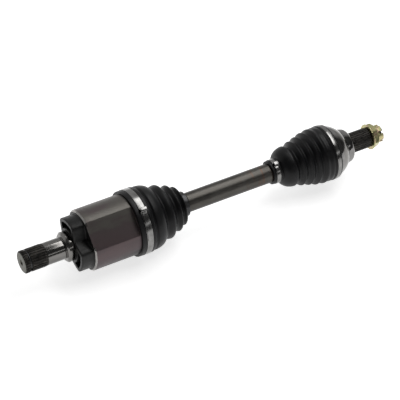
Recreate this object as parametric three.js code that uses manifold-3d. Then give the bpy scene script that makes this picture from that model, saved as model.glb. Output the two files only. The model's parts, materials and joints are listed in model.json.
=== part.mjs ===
// Front drive axle with two constant-velocity joints: a plunging tripod joint at the inboard end and a
// six-ball fixed joint at the outboard end, each under a pleated boot with two clamps.
// Millimetres. The axle lies along +X, inboard end at -X, with the origin on its axis at mid-length.
// Stations are distances from the inboard tip. Angles round the axle run from +Y towards +Z.

import * as THREE from 'three';
import { mergeVertices } from 'three/addons/utils/BufferGeometryUtils.js';
import Module from 'manifold-3d';

const wasm = await Module();
wasm.setup();

// Driving dimensions

const overallLength = 584;
const gap = 0.3; // between pieces that touch on the real axle
const runningGap = 0.4; // between spherical faces that slide on each other

// Inboard stub and collar
const stubRadius = 16.4;
const stubToothHeight = 1.1;
const stubTeeth = 27;
const stubSplineLength = 34;
const stubCirclipStation = 8.5;
const stubCirclipWidth = 2;
const stubGrooveDepth = 2.1;
const centreHoleRadius = 4;
const centreHoleDepth = 6;
const journalRadius = 16;
const collarStation = 62.5;
const collarRadius = 22;
const collarChamfer = 2.5;

// Tripod housing
const lobeStation = 73;
const lobeStep = 5; // the lobes stand this far inside the barrel's radius
const lobeSideWall = 5.25;
const lobeCorner = 9;
const pocketWall = 6;
const pocketDepth = 12;
const rimStation = 92;
const rimChamfer = 2;
const housingRadius = 44.5;
const barrelFlatDepth = 5.3; // the barrel is flat between the tracks
const housingSeatStep = 0.6;
const mouthStation = 186;
const firstTrunnionAngle = 76;

// Tripod and its rollers
const spiderDepth = 43; // from the housing's mouth
const plungeIn = 20;
const tripodTilt = 16.8; // degrees, droop and swing together
const spiderHubRadius = 17.5;
const spiderHalfWidth = 12.5;
const trunnionRadius = 9.6;
const trunnionReach = 33;
const rollerRadius = 15;
const rollerWidth = 10;
const rollerCentre = 25.5;
const needleDiameter = 1.9;
const needleCount = 14;
const trackSideGap = 0.75;
const trackEndGap = 0.6;
const trackTipGap = 2;
const lockRingThickness = 1.1;
const boreRadius = 26;
const boreFlare = 6.3;
const stopRingDepth = 4; // from the housing's mouth
const stopRingWidth = 2;
const stopRingLap = 1.8; // into the track, in the rollers' way
const stopRingSeat = 1.4; // into the housing's wall

// Bar
const barRadius = 14.2;
const cuffSeatStep = 0.5;
const inboardNeckRadius = 12.2;
const inboardSplineRadius = 11.7;
const outboardNeckRadius = 11.5;
const outboardSplineRadius = 11.2;
const clipGrooveDepth = 1.7;
const clipWidth = 1.1;
const clipSlot = 6; // the opening in a spring ring on the bar

// Inboard boot: ridges as [distance past the cuff, radius less the cuff's]
const inboardCuffLength = 24;
const inboardCuffPastMouth = 1;
const inboardCuffWall = 4.5;
const inboardRidges = [[9, -2.2], [33, -8.9], [47.5, -13.9], [58.5, -19.4]];
const inboardPleat = 4.5;
const inboardSmallCuffGap = 58; // from the large cuff
const inboardSmallCuffLength = 11;

// Outboard joint, measured from its centre
const outboardReach = 99; // joint centre to the outboard end
const ballRadius = 8;
const ballCircle = 27;
const ballCount = 6;
const ballGrooveSide = 2.5; // room for a ball to move sideways when the joint bends two ways at once
const ballGrooveDepth = 1.1;
const innerSphere = 24.6;
const innerRaceHalfWidth = 11;
const cageHalfWidth = 12;
const cageThickness = 4.4;
const cageWindowGap = 0.35;
const cageWindowSide = 1.6;
const bellMouth = 12;
const bellMouthAngle = 20;
const bellFloorAngle = 54;
const bellWall = 3.1; // outside the ball grooves
const bellDomeStep = 1.6;
const bellDomeEnd = 30;
const bellShoulderEnd = 42;
const bellShoulderRadius = 25;
const grooveDeepAngle = 42;
const grooveMouthAngle = 78;

// Outboard boot, from the joint centre: ridges as [station, radius less the cuff's]
const outboardSmallCuff = -91;
const outboardSmallCuffEnd = -76;
const outboardRidges = [[-59, -11.2], [-47, -7.6], [-35.5, -4.5], [-25, -1.5], [-14.5, -0.2]];
const outboardPleat = 3.6;
const outboardCuffStart = 0;
const outboardCuffEnd = 10;
const outboardCuffWall = 2.2;

// Boots and clamps
const bootWall = 2.4;
const smallCuffWall = 3;
const bandThickness = 0.9;
const bandSink = 0.7; // how far a band sits below the cuff round it
const outboardBandWidth = 5.8;
const inboardBandWidth = 9.5;
const smallBandWidth = 6.5;
const earHeight = 5;
const earWidth = 10;
const inboardEarAngle = 123;
const smallEarAngle = 110;
const hiddenEarAngle = 300;

// Outboard stub and nut, with reaches measured back from the outboard end
const wheelSplineRadius = 15;
const wheelToothHeight = 1.1;
const wheelTeeth = 28;
const threadRadius = 11;
const threadInset = 1; // the thread ends this far inside the nut's crown
const nutReach = 20.5;
const nutFlangeRadius = 19.2;
const nutFlangeThickness = 2.2;
const nutAcrossFlats = 32;
const crownHeight = 9.5;
const crownRadius = 13.2;
const crownSlots = 6;
const crownSlotWidth = 3.4;
const crownSlotDepth = 5.5;
const crownTurn = 17; // degrees, from the hexagon's corner to the first slot

// Places that follow from the sizes above
const stubRootRadius = stubRadius - stubToothHeight;
const stubGrooveRadius = stubRootRadius - stubGrooveDepth;
const housingSeatRadius = housingRadius - housingSeatStep;
const lobeReach = housingRadius - lobeStep;
const spiderStation = mouthStation - spiderDepth;
const needleInner = trunnionRadius + gap;
const needleOuter = needleInner + needleDiameter;
const rollerBore = needleOuter + gap;
const trackHalfWidth = rollerRadius + trackSideGap;
const lobeHalfWidth = trackHalfWidth + lobeSideWall;
const tiltSwing = rollerCentre * Math.sin(THREE.MathUtils.degToRad(tripodTilt));
const trackStart = spiderStation - plungeIn - tiltSwing - rollerRadius - trackEndGap;
const trackReach = trunnionReach + trackTipGap;
const stopRingStation = mouthStation - stopRingDepth;
const trunnionAngles = [0, 1, 2].map((i) => firstTrunnionAngle + i * 120);
const cuffSeatRadius = barRadius - cuffSeatStep;
const smallCuffRadius = cuffSeatRadius + gap + smallCuffWall;
const inboardCuffEnd = mouthStation + inboardCuffPastMouth;
const inboardLipStation = inboardCuffEnd - inboardCuffLength;
const inboardCuffRadius = housingSeatRadius + inboardCuffWall;
const inboardSmallCuffStation = inboardCuffEnd + inboardSmallCuffGap;
const inboardSmallCuffEnd = inboardSmallCuffStation + inboardSmallCuffLength;
const inboardBandStart = inboardLipStation + (inboardCuffLength - inboardBandWidth) / 2;
const inboardSmallBandEnd = inboardSmallCuffEnd - 1;
const outboardCentre = overallLength - outboardReach;
const cageInner = innerSphere + runningGap;
const cageOuter = cageInner + cageThickness;
const cavityRadius = cageOuter + runningGap;
const ballAngles = Array.from({ length: ballCount }, (_, i) => 90 + (i * 360) / ballCount);
const bellSeatRadius = ballCircle + ballRadius + ballGrooveDepth + bellWall;
const bellDomeRadius = bellSeatRadius + bellDomeStep;
const outboardCuffRadius = bellSeatRadius + outboardCuffWall;
const outboardBandStart = (outboardCuffStart + outboardCuffEnd - outboardBandWidth) / 2;
const smallBandStart = (outboardSmallCuff + outboardSmallCuffEnd - smallBandWidth) / 2;
const wheelSplineRoot = wheelSplineRadius - wheelToothHeight;
const nutStation = overallLength - nutReach;
const nutHexEnd = overallLength - crownHeight;

// Solids

const radians = THREE.MathUtils.degToRad;
const facets = 28; // round the axle
const smallFacets = 20; // round a trunnion or a spring ring

// Shares vertices, drops collapsed triangles and turns the faces outwards.
function closedGeometry(geometry) {
  const bare = geometry.index ? geometry.toNonIndexed() : geometry;
  bare.deleteAttribute('normal');
  bare.deleteAttribute('uv');
  const merged = mergeVertices(bare, 1e-4);
  const source = merged.index.array;
  const position = merged.attributes.position;
  const index = [];
  const [a, b, c] = [new THREE.Vector3(), new THREE.Vector3(), new THREE.Vector3()];
  let volume = 0;
  for (let i = 0; i < source.length; i += 3) {
    const [p, q, r] = [source[i], source[i + 1], source[i + 2]];
    if (p === q || q === r || r === p) continue;
    index.push(p, q, r);
    a.fromBufferAttribute(position, p);
    b.fromBufferAttribute(position, q);
    c.fromBufferAttribute(position, r);
    volume += a.dot(b.cross(c));
  }
  merged.setIndex(volume < 0 ? index.reverse() : index);
  return merged;
}

function toSolid(geometry) {
  const closed = closedGeometry(geometry);
  const vertProperties = new Float32Array(closed.attributes.position.array);
  const triVerts = new Uint32Array(closed.index.array);
  return new wasm.Manifold(new wasm.Mesh({ numProp: 3, vertProperties, triVerts }));
}

function toGeometry(solid) {
  const mesh = solid.getMesh();
  const geometry = new THREE.BufferGeometry();
  geometry.setAttribute('position', new THREE.BufferAttribute(mesh.vertProperties, 3));
  geometry.setIndex(new THREE.BufferAttribute(mesh.triVerts, 1));
  return geometry;
}

function cut(solid, tools) {
  return tools.reduce((left, tool) => left.subtract(tool), solid);
}

function join(solids) {
  return solids.reduce((whole, piece) => whole.add(piece));
}

// A profile of [station, radius] points turned about the axle. Pieces that seat on each other have as many
// facets as each other.
function turned(profile, segments = facets) {
  const points = profile.map(([station, radius]) => new THREE.Vector2(radius, station));
  return new THREE.LatheGeometry(points, segments).rotateZ(-Math.PI / 2);
}

// A closed ring of rectangular section about the axle.
function ring(from, to, inner, outer, segments = facets) {
  return turned([[from, inner], [from, outer], [to, outer], [to, inner], [from, inner]], segments);
}

function disc(from, to, radius, segments = facets) {
  return turned([[from, 0], [from, radius], [to, radius], [to, 0]], segments);
}

// A flat outline in the YZ plane drawn out along the axle.
function drawnOut(shape, from, to) {
  const settings = { depth: to - from, bevelEnabled: false, curveSegments: 6 };
  const geometry = new THREE.ExtrudeGeometry(shape, settings);
  // The outline's x is Y and its y is Z once the drawing direction lies along +X.
  geometry.applyMatrix4(new THREE.Matrix4().set(0, 0, 1, from, 1, 0, 0, 0, 0, 1, 0, 0, 0, 0, 0, 1));
  return geometry;
}

// Section of a ball groove: its width lies round the axle and its height along the spoke.
function grooveShape() {
  const shape = new THREE.Shape();
  shape.absellipse(0, 0, ballRadius + ballGrooveSide, ballRadius + ballGrooveDepth, 0, Math.PI * 2);
  return shape;
}

// Spline teeth: four points a tooth, root to tip and back.
function splineShape(root, tip, teeth) {
  const shape = new THREE.Shape();
  const step = (Math.PI * 2) / teeth;
  for (let i = 0; i < teeth; i += 1) {
    [[0.0, root], [0.32, root], [0.48, tip], [0.84, tip]].forEach(([share, radius], corner) => {
      const angle = (i + share) * step;
      const point = [radius * Math.cos(angle), radius * Math.sin(angle)];
      if (i === 0 && corner === 0) shape.moveTo(...point);
      else shape.lineTo(...point);
    });
  }
  shape.closePath();
  return shape;
}

// A box from low to high corner.
function block(low, high) {
  const size = high.map((value, axis) => value - low[axis]);
  const geometry = new THREE.BoxGeometry(...size);
  return geometry.translate(...low.map((value, axis) => value + size[axis] / 2));
}

// A profile of [radius, height] points turned about a spoke that leaves the axle at an angle.
function onSpoke(profile, angle, segments = smallFacets) {
  const points = profile.map(([radius, height]) => new THREE.Vector2(radius, height));
  return new THREE.LatheGeometry(points, segments).rotateX(radians(angle));
}

// Points on a circle about the origin of the (station, radius) plane, between angles from the radius axis.
function arcPoints(radius, from, to, steps) {
  return Array.from({ length: steps + 1 }, (_, i) => {
    const angle = radians(from + ((to - from) * i) / steps);
    return [radius * Math.sin(angle), radius * Math.cos(angle)];
  });
}

// The path of a ball's centre in its groove, in the plane of the axle and the spoke along +Y.
class GroovePath extends THREE.Curve {
  constructor(radius, from, to) {
    super();
    Object.assign(this, { radius, from, to });
  }

  getPoint(t, target = new THREE.Vector3()) {
    const angle = radians(this.from + (this.to - this.from) * t);
    return target.set(this.radius * Math.sin(angle), this.radius * Math.cos(angle), 0);
  }
}

function grooveTool(from, to, angle) {
  const path = new GroovePath(ballCircle, from, to);
  const settings = { extrudePath: path, steps: 7, bevelEnabled: false, curveSegments: 6 };
  return toSolid(new THREE.ExtrudeGeometry(grooveShape(), settings).rotateX(radians(angle)));
}

// Boot outline: the ridges, with a valley halfway between each two.
function pleats(ridges, depth) {
  return ridges.flatMap(([station, radius], i) => {
    if (i === ridges.length - 1) return [[station, radius]];
    const [nextStation, nextRadius] = ridges[i + 1];
    return [[station, radius], [(station + nextStation) / 2, Math.min(radius, nextRadius) - depth]];
  });
}

// A wall of even depth inside an outline: the outline there, and back again further in.
function skin(outline, inner) {
  return [...outline, ...inner.slice().reverse(), outline[0]];
}

// Clamp: a band round the cuff with its pinched ear, which is narrowest at half its height.
function clamp(from, width, inner, earAngle) {
  const to = from + width;
  const outer = inner + bandThickness;
  const band = toSolid(ring(from, to, inner, outer));
  const half = earWidth / 2;
  const flank = [[inner + bandThickness / 4, half], [outer + earHeight / 8, half],
    [outer + earHeight / 2, half * 0.45], [outer + earHeight, half * 0.6]];
  const otherFlank = flank.map(([radius, side]) => [radius, -side]).reverse();
  const corners = [...flank, ...otherFlank].map(([radius, side]) => new THREE.Vector2(radius, side));
  const ear = new THREE.Shape(corners);
  const inset = width / 10;
  const lug = toSolid(drawnOut(ear, from + inset, to - inset).rotateX(radians(earAngle)));
  const trim = toSolid(disc(from - 1, to + 1, inner));
  return toGeometry(cut(band.add(lug), [trim]));
}

// Inboard joint

// Rounded lobe outline round each track at the closed end of the housing.
function lobeShape(reach, halfWidth, corner) {
  const shape = new THREE.Shape();
  shape.moveTo(0, -halfWidth);
  shape.lineTo(reach - corner, -halfWidth);
  shape.absarc(reach - corner, -halfWidth + corner, corner, -Math.PI / 2, 0);
  shape.absarc(reach - corner, halfWidth - corner, corner, 0, Math.PI / 2);
  shape.lineTo(0, halfWidth);
  shape.closePath();
  return shape;
}

function pocketShape() {
  const shape = new THREE.Shape();
  const inner = collarRadius + 4;
  const outer = lobeReach - pocketWall;
  const half = lobeHalfWidth - pocketWall - 2;
  shape.moveTo(inner, -half * 0.75);
  shape.lineTo(outer, -half);
  shape.lineTo(outer, half);
  shape.lineTo(inner, half * 0.75);
  shape.closePath();
  return shape;
}

// The stub that goes into the gearbox, up to the face where it meets the housing's closed end.
function inboardStub() {
  const grooveStart = stubCirclipStation - 0.7 * stubCirclipWidth;
  const grooveEnd = stubCirclipStation + 0.7 * stubCirclipWidth;
  const blank = toSolid(turned([
    [0, 0],
    [0, stubRootRadius - 1],
    [1, stubRootRadius],
    [grooveStart, stubRootRadius],
    [grooveStart, stubGrooveRadius],
    [grooveEnd, stubGrooveRadius],
    [grooveEnd, stubRootRadius],
    [stubSplineLength, stubRootRadius],
    [stubSplineLength, journalRadius],
    [collarStation, journalRadius],
    [collarStation, collarRadius - collarChamfer],
    [collarStation + collarChamfer, collarRadius],
    [lobeStation - gap, collarRadius],
    [lobeStation - gap, 0],
  ]));
  const teeth = splineShape(stubRootRadius - 0.4, stubRadius, stubTeeth);
  const tip = toSolid(drawnOut(teeth, 1, grooveStart));
  const spline = toSolid(drawnOut(teeth, grooveEnd, stubSplineLength));
  const centreHole = toSolid(turned([[-1, 0], [-1, centreHoleRadius], [centreHoleDepth, 0]], 16));
  return toGeometry(cut(join([blank, tip, spline]), [centreHole]));
}

function tripodHousing() {
  const barrel = toSolid(turned([
    [lobeStation, 0],
    [lobeStation, collarRadius],
    [lobeStation + pocketDepth, collarRadius],
    [rimStation, collarRadius + 5],
    [rimStation, housingRadius - rimChamfer],
    [rimStation + rimChamfer, housingRadius],
    [inboardLipStation, housingRadius],
    [inboardLipStation, housingSeatRadius],
    [mouthStation, housingSeatRadius],
    [mouthStation, 0],
  ]));
  const onEachSpoke = (geometryOf) => trunnionAngles.map(
    (angle) => toSolid(geometryOf().rotateX(radians(angle))));
  const lobe = lobeShape(lobeReach, lobeHalfWidth, lobeCorner);
  const lobes = onEachSpoke(() => drawnOut(lobe, lobeStation, rimStation + 1));
  const round = toSolid(disc(lobeStation - 1, rimStation + 2, lobeReach));
  const lobed = join(lobes).intersect(round);
  const pockets = onEachSpoke(() => drawnOut(pocketShape(), lobeStation - 1, lobeStation + pocketDepth));
  const tracks = onEachSpoke(() => block([trackStart, 0, -trackHalfWidth],
    [mouthStation + 1, trackReach, trackHalfWidth]));
  const bore = toSolid(turned([
    [trackStart, 0],
    [trackStart, boreRadius],
    [spiderStation, boreRadius],
    [mouthStation + 1, boreRadius + boreFlare],
    [mouthStation + 1, 0],
  ]));
  const stopGroove = toSolid(ring(stopRingStation - gap, stopRingStation + stopRingWidth + gap,
    boreRadius - 1, trackReach + stopRingSeat + gap));
  const flats = onEachSpoke(() => block([rimStation - 1, housingRadius - barrelFlatDepth, -housingRadius],
    [inboardLipStation, housingRadius + 1, housingRadius]).rotateX(Math.PI / 3));
  return toGeometry(cut(join([barrel, lobed]), [...flats, ...pockets, ...tracks, bore, stopGroove]));
}

// Open spring ring of rectangular section, cut across at one side.
function springRing(from, width, inner, outer, openingAngle, opening) {
  const to = from + width;
  const slot = toSolid(block([from - 1, 0, -opening / 2], [to + 1, outer + 1, opening / 2])
    .rotateX(radians(openingAngle)));
  return toGeometry(cut(toSolid(ring(from, to, inner, outer, smallFacets)), [slot]));
}

function spider() {
  const hub = toSolid(ring(spiderStation - spiderHalfWidth, spiderStation + spiderHalfWidth,
    inboardSplineRadius + gap, spiderHubRadius));
  const ringFloor = rollerCentre + rollerWidth / 2;
  const trunnions = trunnionAngles.map((angle) => toSolid(onSpoke([
    [0, inboardSplineRadius + 2],
    [trunnionRadius, inboardSplineRadius + 2],
    [trunnionRadius, ringFloor],
    [trunnionRadius - 1, ringFloor],
    [trunnionRadius - 1, ringFloor + lockRingThickness + 2 * gap],
    [trunnionRadius, ringFloor + lockRingThickness + 2 * gap],
    [trunnionRadius - 0.5, trunnionReach],
    [0, trunnionReach],
  ], angle).translate(spiderStation, 0, 0)));
  return toGeometry(join([hub, ...trunnions]));
}

function roller(angle) {
  const half = rollerWidth / 2;
  const crown = Math.asin(half / rollerRadius) * THREE.MathUtils.RAD2DEG;
  const outline = arcPoints(rollerRadius, -crown, crown, 4)
    .map(([height, radius]) => [radius, rollerCentre + height]);
  const profile = [[rollerBore, rollerCentre - half], ...outline, [rollerBore, rollerCentre + half],
    [rollerBore, rollerCentre - half]];
  return onSpoke(profile, angle).translate(spiderStation, 0, 0);
}

// The full row of needles round a trunnion, side by side, as one scalloped sleeve.
function needleRow(angle) {
  const middle = (needleInner + needleOuter) / 2;
  const shape = new THREE.Shape();
  const hole = new THREE.Path();
  for (let i = 0; i < needleCount * 2; i += 1) {
    const turn = (i * Math.PI) / needleCount;
    const outer = i % 2 ? middle + 0.45 : needleOuter;
    const inner = i % 2 ? middle - 0.45 : needleInner / Math.cos(Math.PI / needleCount / 2);
    const [cos, sin] = [Math.cos(turn), Math.sin(turn)];
    if (i === 0) {
      shape.moveTo(outer * cos, outer * sin);
      hole.moveTo(inner * cos, inner * sin);
    } else {
      shape.lineTo(outer * cos, outer * sin);
      hole.lineTo(inner * cos, inner * sin);
    }
  }
  shape.holes.push(hole);
  const length = rollerWidth - 2 * gap;
  const geometry = new THREE.ExtrudeGeometry(shape, { depth: length, bevelEnabled: false });
  return geometry.rotateX(-Math.PI / 2).translate(0, rollerCentre - length / 2, 0).rotateX(radians(angle))
    .translate(spiderStation, 0, 0);
}

function lockRing(angle) {
  const floor = rollerCentre + rollerWidth / 2 + gap;
  const [inner, outer] = [trunnionRadius - 1 + gap, needleOuter];
  return onSpoke([[inner, floor], [outer, floor], [outer, floor + lockRingThickness],
    [inner, floor + lockRingThickness], [inner, floor]], angle).translate(spiderStation, 0, 0);
}

function inboardBoot() {
  const bandStart = inboardBandStart - gap;
  const bandEnd = inboardBandStart + inboardBandWidth + gap;
  const seat = housingSeatRadius + gap;
  const bandFloor = inboardCuffRadius - bandSink - gap;
  const smallSeat = cuffSeatRadius + gap;
  const ridges = inboardRidges.map(([along, rise]) => [inboardCuffEnd + along, inboardCuffRadius + rise]);
  const firstValley = [inboardCuffEnd + 4, inboardCuffRadius - inboardPleat];
  const outline = [
    [inboardLipStation + gap, seat],
    [inboardLipStation + gap, inboardCuffRadius],
    [bandStart, inboardCuffRadius],
    [bandStart, bandFloor],
    [bandEnd, bandFloor],
    [bandEnd, inboardCuffRadius],
    [inboardCuffEnd, inboardCuffRadius],
    firstValley,
    ...pleats(ridges, inboardPleat),
    [inboardSmallCuffStation + 2, smallCuffRadius + 4],
    [inboardSmallCuffStation + 3, smallCuffRadius],
    [inboardSmallCuffEnd, smallCuffRadius],
  ];
  const inner = [
    [mouthStation + gap, seat],
    [firstValley[0], firstValley[1] - bootWall],
    ...pleats(ridges, inboardPleat).slice(0, -1).map(([station, radius]) => [station, radius - bootWall]),
    [inboardSmallCuffStation, smallSeat],
    [inboardSmallCuffEnd, smallSeat],
  ];
  return turned(skin(outline, inner));
}

// Outboard joint, built about its own centre

function innerRace() {
  const edge = THREE.MathUtils.RAD2DEG * Math.asin(innerRaceHalfWidth / innerSphere);
  const bore = outboardSplineRadius + gap;
  const blank = toSolid(turned([[-innerRaceHalfWidth, bore], ...arcPoints(innerSphere, -edge, edge, 4),
    [innerRaceHalfWidth, bore], [-innerRaceHalfWidth, bore]]));
  const grooves = ballAngles.map((angle) => grooveTool(-grooveDeepAngle, grooveDeepAngle, angle));
  return toGeometry(cut(blank, grooves));
}

function ballCage() {
  const outerEdge = THREE.MathUtils.RAD2DEG * Math.asin(cageHalfWidth / cageOuter);
  const innerEdge = THREE.MathUtils.RAD2DEG * Math.asin(cageHalfWidth / cageInner);
  const outer = arcPoints(cageOuter, -outerEdge, outerEdge, 4);
  const inner = arcPoints(cageInner, innerEdge, -innerEdge, 4);
  const shell = toSolid(turned([...outer, ...inner, outer[0]]));
  const half = ballRadius + cageWindowGap;
  const side = ballRadius + cageWindowSide;
  const windows = ballAngles.map((angle) =>
    toSolid(block([-half, cageInner - 6, -side], [half, cageOuter + 2, side]).rotateX(radians(angle))));
  return toGeometry(cut(shell, windows));
}

function ball(angle) {
  return new THREE.SphereGeometry(ballRadius, 12, 8).translate(0, ballCircle, 0).rotateX(radians(angle));
}

function outerRace() {
  const nutFace = outboardReach - nutReach;
  const domeStart = THREE.MathUtils.RAD2DEG * Math.asin(outboardCuffEnd / bellDomeRadius);
  const domeEnd = THREE.MathUtils.RAD2DEG * Math.asin(bellDomeEnd / bellDomeRadius);
  const blank = toSolid(turned([
    [-bellMouth, 0],
    [-bellMouth, bellSeatRadius - 0.6],
    [-bellMouth + 0.6, bellSeatRadius],
    [outboardCuffEnd, bellSeatRadius],
    ...arcPoints(bellDomeRadius, domeStart, domeEnd, 5),
    [bellShoulderEnd - 4, bellShoulderRadius + 1],
    [bellShoulderEnd, bellShoulderRadius - 2],
    [bellShoulderEnd, wheelSplineRoot],
    [nutFace, wheelSplineRoot],
    [nutFace, threadRadius],
    [outboardReach - threadInset - 1, threadRadius],
    [outboardReach - threadInset, threadRadius - 1],
    [outboardReach - threadInset, 0],
  ]));
  const cavityWall = arcPoints(cavityRadius, -bellMouthAngle, bellFloorAngle, 6);
  const cavity = toSolid(turned([
    [-bellMouth - 1, 0],
    [-bellMouth - 1, cavityRadius + 5],
    ...cavityWall,
    [cavityWall.at(-1)[0] + 0.2, 0],
  ]));
  const grooves = ballAngles.map((angle) => grooveTool(-grooveMouthAngle, grooveDeepAngle, angle));
  const teeth = splineShape(wheelSplineRoot - 0.4, wheelSplineRadius, wheelTeeth);
  const spline = toSolid(drawnOut(teeth, bellShoulderEnd + 3, nutFace - 0.8));
  return toGeometry(cut(join([blank, spline]), [cavity, ...grooves]));
}

function outboardBoot() {
  const seat = bellSeatRadius + gap;
  const smallSeat = cuffSeatRadius + gap;
  const bandStart = outboardBandStart - gap;
  const bandEnd = outboardBandStart + outboardBandWidth + gap;
  const ridges = outboardRidges.map(([station, rise]) => [station, outboardCuffRadius + rise]);
  const outline = [
    [outboardSmallCuff, smallSeat],
    [outboardSmallCuff, smallCuffRadius + bandSink],
    [smallBandStart - gap, smallCuffRadius + bandSink],
    [smallBandStart - gap, smallCuffRadius],
    [smallBandStart + smallBandWidth + gap, smallCuffRadius],
    [smallBandStart + smallBandWidth + gap, smallCuffRadius + bandSink],
    [outboardSmallCuffEnd + 1, smallCuffRadius + 4],
    ...pleats(ridges, outboardPleat),
    [outboardCuffStart - 2, outboardCuffRadius - 0.8],
    [outboardCuffStart, outboardCuffRadius],
    [bandStart, outboardCuffRadius],
    [bandStart, outboardCuffRadius - bandSink - gap],
    [bandEnd, outboardCuffRadius - bandSink - gap],
    [bandEnd, outboardCuffRadius],
    [outboardCuffEnd, outboardCuffRadius],
    [outboardCuffEnd, seat],
  ];
  const inner = [
    [outboardSmallCuffEnd, smallSeat],
    ...pleats(ridges, outboardPleat).slice(0, -1).map(([station, radius]) => [station, radius - bootWall]),
    [-bellMouth - 2, seat],
  ];
  return turned(skin(outline, inner));
}

// One end of the bar from the neck to the tip, as distances past the joint's centre: the spline, then the
// spring ring's groove beyond the piece that the spline carries.
function splinedEnd(halfWidth, splineRadius, neckRadius) {
  const clip = halfWidth + gap;
  const clipEnd = clip + clipWidth + 0.5;
  return [
    [-clip, neckRadius],
    [-clip, splineRadius],
    [clip, splineRadius],
    [clip, splineRadius - clipGrooveDepth],
    [clipEnd, splineRadius - clipGrooveDepth],
    [clipEnd, splineRadius - 0.5],
    [clipEnd + 1.5, splineRadius - 1],
    [clipEnd + 1.5, 0],
  ];
}

function axleBar() {
  const inboardEnd = splinedEnd(spiderHalfWidth, inboardSplineRadius, inboardNeckRadius)
    .map(([past, radius]) => [spiderStation - past, radius]).reverse();
  const outboardEnd = splinedEnd(innerRaceHalfWidth, outboardSplineRadius, outboardNeckRadius)
    .map(([past, radius]) => [outboardCentre + past, radius]);
  return turned([
    ...inboardEnd,
    [inboardSmallCuffStation - 8, inboardNeckRadius],
    [inboardSmallCuffStation - 3, cuffSeatRadius],
    [inboardSmallCuffEnd + gap, cuffSeatRadius],
    [inboardSmallCuffEnd + 1.5, barRadius],
    [outboardCentre + outboardSmallCuff - 1.5, barRadius],
    [outboardCentre + outboardSmallCuff - gap, cuffSeatRadius],
    [outboardCentre + outboardSmallCuffEnd + 3, cuffSeatRadius],
    [outboardCentre + outboardSmallCuffEnd + 9, outboardNeckRadius],
    ...outboardEnd,
  ]);
}

function axleNut() {
  const start = nutStation + gap;
  const corner = nutAcrossFlats / Math.sqrt(3);
  const hex = new THREE.Shape();
  for (let i = 0; i < 6; i += 1) {
    const angle = (i * Math.PI) / 3;
    const point = [corner * Math.cos(angle), corner * Math.sin(angle)];
    if (i === 0) hex.moveTo(...point);
    else hex.lineTo(...point);
  }
  hex.closePath();
  const bevel = toSolid(turned([[start, 0], [start, corner + 1], [nutHexEnd - 2.4, corner + 1],
    [nutHexEnd, corner - 2.2], [nutHexEnd, 0]]));
  const body = toSolid(drawnOut(hex, start + 1, nutHexEnd)).intersect(bevel);
  const flange = toSolid(disc(start, start + nutFlangeThickness, nutFlangeRadius));
  const crown = toSolid(disc(nutHexEnd - 1, overallLength, crownRadius));
  const bore = toSolid(disc(start - 1, overallLength + 1, threadRadius + gap));
  const slots = Array.from({ length: crownSlots }, (_, i) =>
    toSolid(block([overallLength - crownSlotDepth, 0, -crownSlotWidth / 2],
      [overallLength + 1, crownRadius + 1, crownSlotWidth / 2])
      .rotateX(radians(crownTurn + (i * 360) / crownSlots))));
  return toGeometry(cut(join([flange, body, crown]), [bore, ...slots]));
}

// Finishes

const finishes = {
  machinedSteel: { color: 0x5a5250, roughness: 0.42, metalness: 0.9 },
  polishedSteel: { color: 0xc9cbcc, roughness: 0.16, metalness: 1.0 },
  barSteel: { color: 0x4d4844, roughness: 0.45, metalness: 0.85 },
  bearingSteel: { color: 0xb4b8bb, roughness: 0.2, metalness: 1.0 },
  springSteel: { color: 0x6f7378, roughness: 0.35, metalness: 1.0 },
  bandSteel: { color: 0xc4c6c6, roughness: 0.28, metalness: 1.0 },
  bootRubber: { color: 0x161617, roughness: 0.48, metalness: 0.0 },
  yellowZinc: { color: 0xb5b083, roughness: 0.3, metalness: 0.9 },
};

// Assembly: pieces built from the inboard tip stand in one group, pieces of the outboard joint in another.

const axle = new THREE.Group();
const fromTip = new THREE.Group();
const aboutOutboardCentre = new THREE.Group();
fromTip.position.x = -overallLength / 2;
aboutOutboardCentre.position.x = outboardCentre - overallLength / 2;
axle.add(fromTip, aboutOutboardCentre);

function place(group, name, geometry, finish) {
  const mesh = new THREE.Mesh(closedGeometry(geometry), new THREE.MeshStandardMaterial(finishes[finish]));
  mesh.name = name;
  group.add(mesh);
}

const trackSide = firstTrunnionAngle + 60; // between two tracks
place(fromTip, 'inboard_stub', inboardStub(), 'machinedSteel');
place(fromTip, 'stub_circlip', springRing(stubCirclipStation - stubCirclipWidth / 2, stubCirclipWidth,
  stubGrooveRadius + gap, stubRadius - 0.2, trackSide, 5), 'springSteel');
place(fromTip, 'tripod_housing', tripodHousing(), 'machinedSteel');
place(fromTip, 'roller_stop_ring', springRing(stopRingStation, stopRingWidth,
  trackReach - stopRingLap, trackReach + stopRingSeat, trackSide, 8), 'springSteel');
place(fromTip, 'inboard_large_clamp', clamp(inboardBandStart, inboardBandWidth,
  inboardCuffRadius - bandSink, inboardEarAngle), 'bandSteel');
place(fromTip, 'inboard_boot', inboardBoot(), 'bootRubber');
place(fromTip, 'inboard_small_clamp', clamp(inboardSmallBandEnd - smallBandWidth, smallBandWidth,
  smallCuffRadius + gap, hiddenEarAngle), 'bandSteel');
place(fromTip, 'spider', spider(), 'bearingSteel');
const spiderClipEnd = spiderStation - spiderHalfWidth - gap - 0.2;
place(fromTip, 'spider_circlip', springRing(spiderClipEnd - clipWidth, clipWidth,
  inboardSplineRadius - clipGrooveDepth + gap, inboardSplineRadius + 1.5, trackSide, clipSlot),
  'springSteel');
trunnionAngles.forEach((angle, i) => {
  place(fromTip, `roller_${i + 1}`, roller(angle), 'bearingSteel');
  place(fromTip, `needle_row_${i + 1}`, needleRow(angle), 'bearingSteel');
  place(fromTip, `roller_lock_ring_${i + 1}`, lockRing(angle), 'springSteel');
});
place(fromTip, 'axle_bar', axleBar(), 'barSteel');
place(fromTip, 'axle_nut', axleNut(), 'yellowZinc');

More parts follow.
